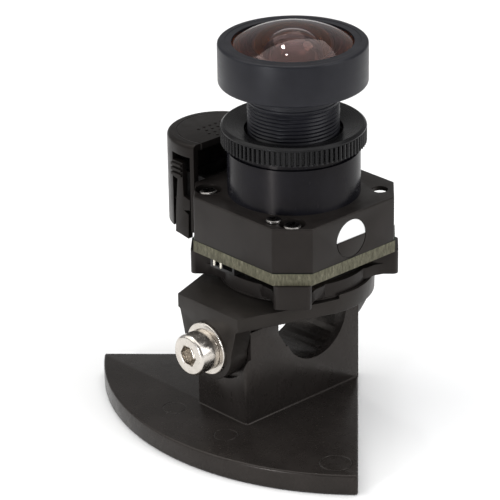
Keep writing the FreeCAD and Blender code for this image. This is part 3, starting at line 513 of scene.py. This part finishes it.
# a mottled finish for small parts
def simple(name, low, high, rough, size=0.6, depth=0.004, **values):
    material, tree, surface = shader(name, **values)
    cloud = noise(tree, size, 3)
    tree.links.new(ramp(tree, cloud, [(0.3, low), (0.7, high)]), surface.inputs["Base Color"])
    tree.links.new(span(tree, cloud, rough[0], rough[1]), surface.inputs["Roughness"])
    relief(tree, surface, noise(tree, size / 5, 2), depth)
    return material


# glass whose colour changes from the middle to the rim, with tinted reflections; stops are (radius in mm,
# colour)
def coatedGlass(name, stops, reach, tint, **values):
    material, tree, surface = shader(name, **{"Transmission Weight": 1.0, "IOR": 1.62, **values})
    far = maths(tree, "DIVIDE", distance(tree, (0, 0, 0)), reach * mm)
    wobble = maths(tree, "ADD", far, span(tree, noise(tree, 4.0, 2), -0.03, 0.03))
    tree.links.new(ramp(tree, wobble, [(radius / reach, colour) for radius, colour in stops]),
                   surface.inputs["Base Color"])
    surface.inputs["Specular Tint"].default_value = tint
    tree.links.new(span(tree, noise(tree, 1.0, 3), 0.008, 0.03), surface.inputs["Roughness"])
    return material


# places and radii of the round mould marks, and the widths of their grooves
footMarks = [((-5.6, -16.6, 0), 1.5, 0.10), ((4.7, -17.0, 0), 1.5, 0.10), ((20.0, -12.2, 0), 2.0, 0.12)]
coverMarks = [((-13.1, -1.06, 0), 5.5, 0.14)]
footPlastic = mouldedPlastic(
    "footPlastic", (0.012, 0.0102, 0.0092), (0.019, 0.0162, 0.0148), (0.22, 0.34),
    grain=0.16, depth=0.003, specular=0.26, marks=footMarks, markDeep=0.10)
holderPlastic = mouldedPlastic(
    "holderPlastic", (0.010, 0.0086, 0.0080), (0.016, 0.0138, 0.0128), (0.28, 0.42),
    grain=0.10, depth=0.003, specular=0.18)
bracketPlastic = mouldedPlastic(
    "bracketPlastic", (0.011, 0.0096, 0.0086), (0.017, 0.0148, 0.0132), (0.28, 0.42),
    grain=0.10, depth=0.004, specular=0.22)
coverPlastic = mouldedPlastic(
    "coverPlastic", (0.007, 0.0059, 0.0054), (0.011, 0.0094, 0.0088), (0.26, 0.42),
    grain=0.12, depth=0.003, specular=0.14, marks=coverMarks, markDeep=0.14)
tubePlastic = mouldedPlastic(
    "tubePlastic", (0.004, 0.0040, 0.0056), (0.008, 0.0080, 0.0108), (0.20, 0.28),
    grain=0.2, depth=0.002, specular=0.13)
barrelMetal = anodised(
    "barrelMetal", (0.008, 0.008, 0.0112), (0.012, 0.012, 0.0158), (0.34, 0.44), specular=0.16)
innerMetal = anodised("innerMetal", (0.008, 0.006, 0.007), (0.012, 0.009, 0.011), (0.30, 0.45), specular=0.2)
ringMetal = anodised(
    "ringMetal", (0.005, 0.0048, 0.0052), (0.009, 0.0087, 0.0092), (0.22, 0.32), specular=0.12)
screwSteel = plated("screwSteel", (0.56, 0.52, 0.47), (0.66, 0.62, 0.57), (0.16, 0.30))
blackSteel = simple("blackSteel", (0.15, 0.142, 0.135), (0.22, 0.21, 0.20), (0.14, 0.26),
                    size=0.4, depth=0.003, Metallic=1.0)
boardLaminate = laminate("boardLaminate")
chipEpoxy = simple("chipEpoxy", (0.014, 0.014, 0.015), (0.022, 0.022, 0.023), (0.45, 0.6),
                   size=0.8, depth=0.006)
ceramic = simple("ceramic", (0.36, 0.26, 0.17), (0.48, 0.36, 0.25), (0.3, 0.5), size=0.3)
nylon = simple("nylon", (0.010, 0.0095, 0.009), (0.018, 0.017, 0.016), (0.3, 0.5), size=0.9)
contactTin = simple("contactTin", (0.72, 0.68, 0.58), (0.85, 0.82, 0.74), (0.18, 0.35),
                    size=0.3, depth=0.003, Metallic=1.0)
portWhite = simple("portWhite", (0.90, 0.90, 0.89), (0.97, 0.97, 0.96), (0.4, 0.55), size=0.8, depth=0.002)
silicon = simple("silicon", (0.16, 0.13, 0.20), (0.24, 0.21, 0.28), (0.06, 0.14),
                 size=0.5, depth=0.001, Metallic=0.7)
sealRubber = simple("sealRubber", (0.014, 0.014, 0.014), (0.022, 0.022, 0.022), (0.6, 0.75), size=0.5)
# baffle and front seal: purple in the middle, amber towards the rim; a painted reflection of the lens
# coating's colours on black parts
bafflePaintedReflection = coloured(
    "bafflePaintedReflection", [(4.0, (0.016, 0.007, 0.011)), (5.5, (0.060, 0.028, 0.040)),
                     (6.0, (0.100, 0.042, 0.026)), (8.0, (0.150, 0.062, 0.030))],
    reach=8.2, rough=(0.25, 0.4))
# ground back and edge of the front glass: dark purple in the middle, amber towards the rim; a painted
# reflection of the coating's colours, seen through the glass
groundGlassPaintedReflection = coloured(
    "groundGlassPaintedReflection", [(4.4, (0.022, 0.010, 0.016)), (5.6, (0.060, 0.024, 0.030)),
                    (6.3, (0.130, 0.046, 0.022)), (8.0, (0.200, 0.082, 0.034))],
    reach=8.2, rough=(0.35, 0.5), ridge=0.55, ridgeDeep=0.3)
# front glass: a pale tint of its own in the middle, turning amber towards the rim as a painted reflection of
# the coating's colours
frontGlass = coatedGlass(
    "frontGlass", [(0, (0.95, 0.88, 0.88)), (4.2, (0.88, 0.72, 0.70)), (6.4, (0.86, 0.58, 0.44)),
                   (8.0, (0.80, 0.48, 0.30))],
    reach=8.1, tint=(0.60, 0.42, 0.40, 1))
# second glass: nearly opaque dark purple-brown, painted shade of the lens interior with a painted coating
# reflection; the pale ring at 3.5 mm, where the dome meets the disc, is a painted highlight
domeGlass = coatedGlass(
    "domeGlass", [(0, (0.034, 0.012, 0.012)), (1.6, (0.026, 0.010, 0.012)), (2.6, (0.045, 0.026, 0.030)),
                  (3.5, (0.140, 0.105, 0.115)), (4.0, (0.030, 0.013, 0.022))],
    reach=6.6, tint=(0.42, 0.27, 0.30, 1), **{"Transmission Weight": 0.05})
innerGlass = coatedGlass(
    "innerGlass", [(0, (0.40, 0.18, 0.20)), (4.6, (0.25, 0.10, 0.11))], reach=6.6, tint=(0.4, 0.2, 0.4, 1))
clearGlass = coatedGlass(
    "clearGlass", [(0, (0.95, 1.0, 1.0)), (6.0, (0.88, 0.96, 0.96))], reach=10, tint=(1, 1, 1, 1), IOR=1.5)
print("materials made")

copiesRule = copiesTree()
threadRule = threadTree()
knurlRule = knurlTree()


def makeFoot():
    size = {"corner": 11.74, "radius": 34.4, "thick": 2.8, "round": 0.3, "half": 4.75, "front": -13.25,
            "rear": 6.98, "cove": 0.22, "edge": 0.22, "postCorner": 0.5, "overlap": 0.01, "arcSteps": 96}
    outline = [(0, size["corner"])]
    for step in range(size["arcSteps"] + 1):
        angle = math.radians(225 + 90 * step / size["arcSteps"])
        outline.append((size["radius"] * math.cos(angle), size["corner"] + size["radius"] * math.sin(angle)))
    foot = settle(bevel(plate("footPost", outline, 0, size["thick"]), size["round"]))
    post = cadCopy("foot_post", "post", size["edge"], above=size["thick"] + size["overlap"])
    base = cove("cove", -size["half"], size["half"], size["front"], size["rear"],
                size["thick"] - size["overlap"], size["cove"], size["postCorner"])
    finish(joined(foot, post, base), footPlastic, "base", "foot_plastic", "foot_post")


def makeClamp():
    round = {"bracket": 0.28, "screw": 0.16, "washer": 0.1}
    finish(cadCopy("tilt_bracket", "tiltBracket", round["bracket"]), bracketPlastic,
           "tilt_head", "holder_plastic", "tilt_bracket")
    finish(cadCopy("tilt_screw", "clampScrew", round["screw"], 4), screwSteel,
           "clamp_screw", "screw_steel", "tilt_screw")
    finish(cadCopy("tilt_washer", "clampWasher", round["washer"]), screwSteel,
           "base", "screw_steel", "tilt_washer")


makeFoot()
makeClamp()
print("stand made")


def makeSwivel():
    round = {"carrier": 0.22, "board": 0.05, "holder": 0.14}
    tube = {"low": 30.7, "reach": 8.9}
    finish(cadCopy("swivel_carrier", "swivelCarrier", round["carrier"]), holderPlastic,
           "swivel", "holder_plastic", "swivel_carrier")
    finish(cadCopy("circuit_board", "circuitBoard", round["board"], 2), boardLaminate,
           "swivel", "board_laminate", "circuit_board")
    holder = cadCopy("lens_holder", "lensHolder", round["holder"])
    finish(holder, holderPlastic, "swivel", "holder_plastic", "lens_holder")
    # the tube above the flange is smoother than the rest
    holder.data.materials.append(tubePlastic)
    for face in holder.data.polygons:
        x, y, z = face.center
        if z > tube["low"] * mm and math.hypot(x, y) < tube["reach"] * mm:
            face.material_index = 1


makeSwivel()
print("swivel made")


# pan head with a cross recess
def screwHead(name, size):
    head = lathe(name, roundOutline([
        (0, 0, 0), (size["radius"], 0, 0.05), (size["radius"], size["tall"], size["round"]),
        (0, size["tall"], 0)]), 48)
    for turn in (20, 110):
        bar = link("bar", bpy.data.meshes.new("bar"))
        bm = bmesh.new()
        bmesh.ops.create_cube(bm, size=1)
        bm.to_mesh(bar.data)
        bm.free()
        place = Matrix.Translation((0, 0, size["tall"] * mm)) @ Matrix.Rotation(math.radians(turn), 4, "Z")
        cut = Matrix.Diagonal((size["cross"] * mm, size["slot"] * mm, size["deep"] * 2 * mm, 1))
        bar.data.transform(place @ cut)
        mod = head.modifiers.new("cross", "BOOLEAN")
        mod.object = bar
        mod.operation = "DIFFERENCE"
        mod.solver = "EXACT"
        settle(head)
        bpy.data.objects.remove(bar)
    return head


def makeScrews():
    size = {"radius": 1.25, "tall": 1.0, "round": 0.42, "cross": 1.5, "slot": 0.38, "deep": 0.5,
            "spread": 7.82, "floor": 29.4}
    spread, floor = size["spread"], size["floor"]
    places = [(spread, -spread, floor), (-spread, -spread, floor), (-spread, spread, floor)]
    heads = copies("holderScrews", screwHead("screwUnit", size), places, blackSteel)
    finish(heads, blackSteel, "swivel", "black_steel", "holder_screws")
    small = {"radius": 1.0, "tall": 0.45, "round": 0.3, "cross": 1.2, "slot": 0.32, "deep": 0.3,
             "place": (5.7, -9.05, 30.48)}
    grub = copies("grubScrew", screwHead("grubUnit", small), [small["place"]], blackSteel)
    finish(grub, blackSteel, "swivel", "black_steel", "grub_screw")


makeScrews()
print("screws made")


def makeRing():
    size = {"low": 37.3, "top": 39.9, "radius": 9.4, "teeth": 84, "tooth": 0.23, "deep": 0.34, "rim": 0.5,
            "dish": 0.75, "mouth": 6.35, "bore": 6.02}
    core = size["radius"] - size["deep"]
    rim = size["radius"] - 0.04
    outline = roundOutline([
        (size["bore"], size["low"], 0), (core - 0.3, size["low"], 0.1), (core, size["low"] + 0.25, 0.1),
        (core, size["top"] - size["rim"] - 0.06, 0.03), (rim, size["top"] - size["rim"], 0.05),
        (rim, size["top"] - size["rim"] + 0.2, 0.08), (rim - 0.35, size["top"], 0.12),
        (size["mouth"], size["top"] - size["dish"], 0.08),
        (size["mouth"], size["top"] - size["dish"] - 0.7, 0),
        (size["bore"], size["top"] - size["dish"] - 1.05, 0)])
    finish(settle(lathe("lockRing", outline, 168)), ringMetal, "lock_ring", "black_anodised", "lock_ring")
    seed = link("lockRingTeeth", meshFrom("seed", [(0, 0, 0)], []))
    low, high = size["low"] + 0.12, size["top"] - size["rim"]
    runTree(seed, knurlRule, {
        "Teeth": size["teeth"], "Radius": (size["radius"] - size["tooth"]) * mm,
        "Tooth Radius": size["tooth"] * mm, "Height": (high - low) * mm, "Middle": (high + low) / 2 * mm,
        "Finish": ringMetal})
    finish(seed, ringMetal, "lock_ring", "black_anodised")


makeRing()
print("lock ring made")


def makeBarrel():
    size = {"pitch": 0.5, "depth": 0.15, "crest": 5.95, "low": 29.7, "threadFrom": 37.0, "threadTo": 43.1,
            "collar": 5.85, "collarLow": 43.4, "headLow": 45.4, "top": 50.9, "outer": 9.6, "rim": 8.65,
            "edge": 50.55, "seat": 8.1, "seatLow": 48.0, "bell": 6.6, "shelf": 45.9, "bore": 4.6,
            "round": 0.35}
    steps = int((size["threadTo"] - size["threadFrom"]) / size["pitch"] * 8)
    thread = [(size["crest"], size["threadFrom"] + (size["threadTo"] - size["threadFrom"]) * i / steps, 0)
              for i in range(steps + 1)]
    corners = [(size["bore"], size["low"], 0), (size["crest"] - 0.3, size["low"], 0),
               (size["crest"], size["low"] + 0.3, 0)]
    corners += thread
    corners += [
        (size["crest"], size["collarLow"] - 0.1, 0.02), (size["collar"], size["collarLow"], 0.04),
        (size["collar"], size["headLow"], 0.15), (size["outer"], size["headLow"], size["round"]),
        (size["outer"], size["top"], size["round"]), (size["rim"], size["top"], 0.06),
        (size["rim"], size["edge"], 0), (size["seat"], size["edge"], 0), (size["seat"], size["seatLow"], 0),
        (size["bell"], size["seatLow"], 0.1), (size["bell"], size["shelf"], 0),
        (size["bore"], size["shelf"], 0)]
    body = lathe("lensBarrel", roundOutline(corners), 160)
    runTree(body, threadRule, {
        "Pitch": size["pitch"] * mm, "Depth": size["depth"] * mm, "Low": (size["threadFrom"] + 0.1) * mm,
        "High": (size["threadTo"] - 0.05) * mm, "Crest": size["crest"] * mm, "Finish": barrelMetal})
    finish(body, barrelMetal, "barrel", "black_anodised", "lens_barrel")

    # ridged rings round the second glass, with a plain slope outside them
    rings = {"outer": 6.55, "ridgeFrom": 4.1, "ridgeTo": 5.7, "count": 4, "floor": 46.64, "low": 47.55,
             "deep": 0.3, "rim": 48.2}
    width = (rings["ridgeTo"] - rings["ridgeFrom"]) / rings["count"]
    outline = [(rings["ridgeFrom"], rings["floor"], 0), (rings["outer"], rings["floor"], 0),
               (rings["outer"], rings["rim"], 0.05), (rings["ridgeTo"], rings["low"], 0.1)]
    for number in range(rings["count"], 0, -1):
        across = rings["ridgeFrom"] + width * number
        outline += [(across - width * 0.35, rings["low"] - rings["deep"], 0.05),
                    (across - width, rings["low"], 0.06)]
    baffle = settle(lathe("lensBaffle", roundOutline(outline, 2), 96))
    # the baffle's purple and amber are a painted reflection
    finish(baffle, bafflePaintedReflection, "barrel", "black_anodised")


# points of a circle about a centre on the lens axis, between two radii
def arc(radius, centre, fromRadius, toRadius, steps):
    out = []
    for step in range(steps + 1):
        across = fromRadius + (toRadius - fromRadius) * step / steps
        out.append((max(across, 0), centre + math.sqrt(max(radius * radius - across * across, 0))))
    return out


def makeGlass():
    size = {"curve": 14.2, "edge": 50.55, "rim": 7.8, "outer": 8.05, "low": 48.32, "inner": 4.7, "drop": 1.6}
    sag = size["curve"] - math.sqrt(size["curve"] ** 2 - size["rim"] ** 2)
    centre = size["edge"] + sag - size["curve"]
    mouth = math.sqrt(size["inner"] ** 2 - size["drop"] ** 2)
    outline = arc(size["inner"], size["low"] - size["drop"], 0, mouth, 24)
    outline += [(size["outer"], size["low"])]
    outline += arc(size["curve"], centre, size["outer"], 0, 40)
    front = settle(lathe("frontElement", outline, 128), 50)
    finish(front, frontGlass, "optics", "lens_glass", "front_element")
    # the flat back and the edge are ground, the rest is polished
    # the ground faces carry the painted amber and purple reflection
    front.data.materials.append(groundGlassPaintedReflection)
    for face in front.data.polygons:
        across = math.hypot(face.center.x, face.center.y)
        if across > mouth * mm and abs(face.normal.z) > 0.99 or abs(face.normal.z) < 0.01:
            face.material_index = 1

    second = {"disc": 6.55, "low": 45.9, "rim": 0.7, "bump": 3.5, "base": -0.4}
    curve = second["bump"] + 0.15
    centre = second["low"] + second["base"]
    rim = second["low"] + second["rim"]
    meet = math.sqrt(curve ** 2 - (rim - centre) ** 2)
    outline = [(0, second["low"]), (second["disc"], second["low"]), (second["disc"], rim)]
    outline += arc(curve, centre, min(meet, second["bump"]), 0, 24)
    dome = settle(lathe("secondElement", outline, 96), 40)
    finish(dome, domeGlass, "optics", "lens_glass", "second_element")


makeBarrel()
makeGlass()
print("lens made")


def makeCover():
    round = {"cover": 0.25, "latch": 0.1}
    latches = [("latch_front", "latchFront", "front_latch"), ("latch_rear", "latchRear", "rear_latch")]
    finish(cadCopy("side_cover", "sideCover", round["cover"]), coverPlastic,
           "swivel", "cover_plastic", "side_cover")
    for node, name, body in latches:
        finish(cadCopy(node, name, round["latch"]), coverPlastic, body, "cover_plastic", node)

    # rows of small raised beads on the cover's top
    beads = {"x": -13.3, "y": -1.06, "top": 35.5, "radius": 0.24, "proud": 0.12, "across": 1.05, "along": 1.0,
             "rows": 5, "columns": 4}
    bead = settle(lathe("bead", [(0, -0.05), (beads["radius"], -0.05),
                                 (beads["radius"] * 0.8, beads["proud"] * 0.7), (0, beads["proud"])], 14))
    places = []
    for row in range(beads["rows"]):
        for column in range(beads["columns"]):
            across = beads["x"] + beads["across"] * (column - (beads["columns"] - 1) / 2)
            along = beads["y"] + beads["along"] * (row - (beads["rows"] - 1) / 2) + 0.5 * (column % 2)
            places.append((across, along, beads["top"]))
    finish(copies("coverBeads", bead, places, coverPlastic), coverPlastic, "swivel", "cover_plastic")


makeCover()
print("cover made")

# finishes of the CAD nodes that stay as they are
keptFinishes = {
    "tilt_nut": screwSteel, "pivot_pin": screwSteel, "swivel_washer": blackSteel, "swivel_screw": blackSteel,
    "image_sensor": chipEpoxy, "sensor_die": silicon, "sensor_cover_glass": clearGlass,
    "sensor_gasket": sealRubber, "board_chips": chipEpoxy, "board_capacitors": ceramic,
    "flex_connector": nylon, "cable_socket": nylon, "socket_pins": contactTin, "solder_tails": contactTin,
    # the front seal takes the baffle's painted amber reflection
    "port_insert": portWhite, "ir_filter": clearGlass, "front_seal": bafflePaintedReflection,
    "front_retainer": barrelMetal, "rear_retainer": innerMetal, "front_spacer": innerMetal,
    "third_element": innerGlass, "stop_spacer": innerMetal, "aperture_stop": innerMetal,
    "middle_spacer": innerMetal, "doublet_crown": innerGlass, "doublet_flint": innerGlass,
    "rear_spacer": innerMetal, "rear_element": innerGlass,
}
for node, material in keptFinishes.items():
    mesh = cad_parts[node].data
    mesh.materials.clear()
    mesh.materials.append(material)
print("kept nodes finished")


def makeFloor():
    size = 900
    points = [(-size, -size, 0), (size, -size, 0), (size, size, 0), (-size, size, 0)]
    floor = link("studioFloor", meshFrom("studioFloor", points, [(0, 1, 2, 3)]))
    material, tree, surface = shader("floorPaper", **{"Roughness": 0.9, "Specular IOR Level": 0.1})
    tree.links.new(ramp(tree, noise(tree, 60, 2), [(0.3, (0.92, 0.92, 0.92)), (0.7, (0.94, 0.94, 0.935))]),
                   surface.inputs["Base Color"])
    floor.data.materials.append(material)


def aim(obj, place, target, roll=0.0):
    forward = (Vector(target) - Vector(place)).normalized()
    right = forward.cross(Vector((0, 0, 1))).normalized()
    up = right.cross(forward)
    across = right * math.cos(roll) + up * math.sin(roll)
    over = up * math.cos(roll) - right * math.sin(roll)
    turn = Matrix((across, over, -forward)).transposed().to_4x4()
    obj.matrix_world = Matrix.Translation(Vector(place) * mm) @ turn


def makeCamera():
    view = {"place": (248.1, -236.4, 176.1), "target": (-4.11, -4.11, 21.89), "lens": 207.9, "roll": -0.893}
    data = bpy.data.cameras.new("studioCamera")
    data.lens = view["lens"]
    data.sensor_width = 36
    data.clip_start = 0.01
    data.clip_end = 10
    camera = bpy.data.objects.new("studioCamera", data)
    scene.collection.objects.link(camera)
    aim(camera, view["place"], view["target"], math.radians(view["roll"]))
    scene.camera = camera


def softbox(name, place, target, width, height, power, colour=(1, 1, 1)):
    data = bpy.data.lights.new(name, "AREA")
    data.shape = "RECTANGLE"
    data.size = width * mm
    data.size_y = height * mm
    data.energy = power
    data.color = colour
    lamp = bpy.data.objects.new(name, data)
    scene.collection.objects.link(lamp)
    aim(lamp, place, target)


def makeLights():
    target = (0, 0, 28)
    softbox("keyLight", (-300, -330, 440), target, 560, 560, 1.5, (1.0, 0.99, 0.97))
    softbox("stripLight", (52, -300, 62), target, 11, 110, 0.34, (0.93, 0.95, 1.0))
    softbox("sparkLight", (-203, 114, 492), target, 18, 46, 0.14)
    softbox("smallSpark", (-124, 59, 530), target, 14, 14, 0.04)
    softbox("sideLight", (430, 160, 240), target, 300, 360, 1.1, (0.97, 0.98, 1.0))
    softbox("topLight", (20, 60, 560), target, 700, 700, 2.4)
    world = bpy.data.worlds.new("studioWorld")
    scene.world = world
    world.use_nodes = True
    tree = world.node_tree
    back = tree.nodes["Background"]
    back.inputs["Color"].default_value = (1, 1, 1, 1)
    # the backdrop is white, and lights the object less than it shows
    glow = {"seen": 1.0, "lighting": 0.34}
    ray = tree.nodes.new("ShaderNodeLightPath")
    power = tree.nodes.new("ShaderNodeMapRange")
    power.inputs["To Min"].default_value = glow["lighting"]
    power.inputs["To Max"].default_value = glow["seen"]
    tree.links.new(ray.outputs["Is Camera Ray"], power.inputs["Value"])
    tree.links.new(power.outputs["Result"], back.inputs["Strength"])
    scene.view_settings.view_transform = "Standard"


makeFloor()
makeCamera()
makeLights()
print("studio made")
